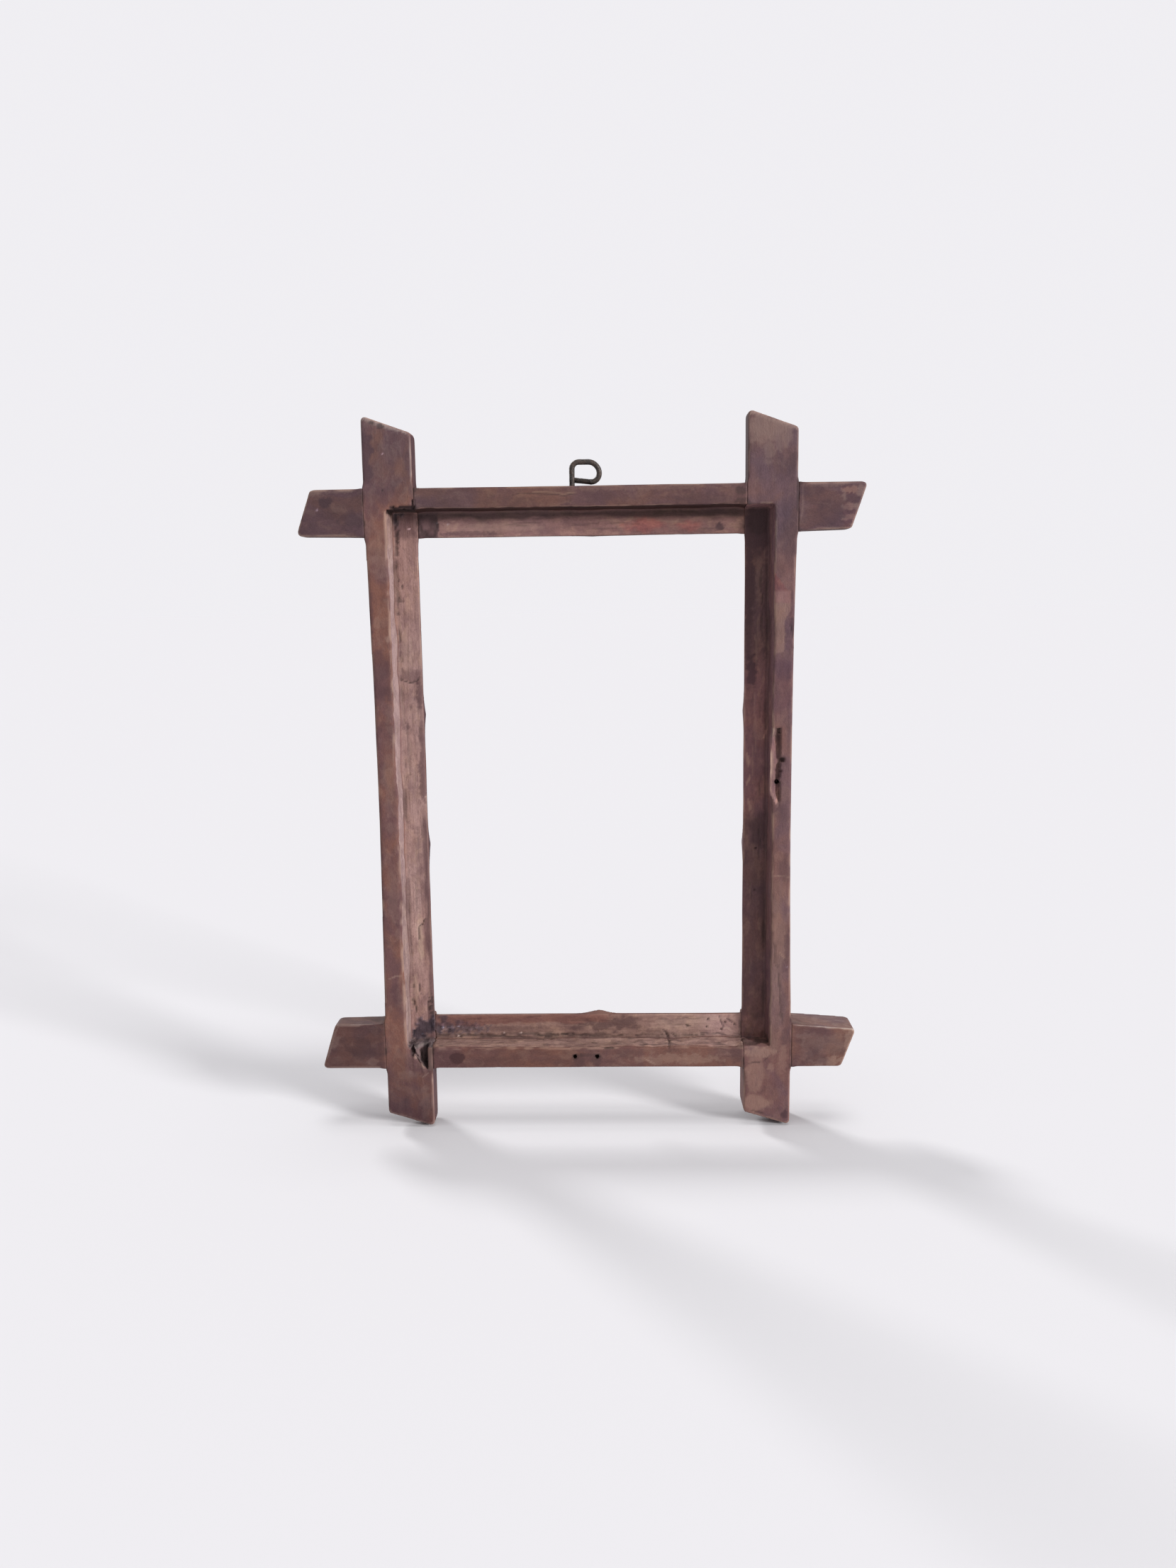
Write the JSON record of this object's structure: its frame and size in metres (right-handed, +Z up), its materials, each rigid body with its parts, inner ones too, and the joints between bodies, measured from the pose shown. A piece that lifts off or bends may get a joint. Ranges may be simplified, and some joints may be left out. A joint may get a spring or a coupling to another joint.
{
  "type": "carved wooden picture frame",
  "caption": "Small cross-corner picture frame of halved wooden bars with slanted projecting ends, a rebate in the back and a bent wire hanging loop.",
  "frame": {"origin": "centre of the overall box in X and Y, on its lowest level: Z is zero where the lowest corners of the two uprights would end if they were sharp, 0.4 mm below their worn tips", "axes": "+Z up the uprights, -Y out of the rebated back that the picture shows, +Y out of the carved front that faces the room, +X to the right as seen from the back"},
  "size_m": [0.1683, 0.012, 0.2199],
  "materials": {
    "bar_wood": "old open-grained hardwood, stained dark and worn",
    "iron_wire": "dark oxidised iron"
  },
  "bodies": {
    "root": {"left_stile": "bar_wood", "right_stile": "bar_wood", "top_rail": "bar_wood", "bottom_rail": "bar_wood", "hanging_loop": "iron_wire", "crossing_brads": "iron_wire"}
  },
  "joints": []
}
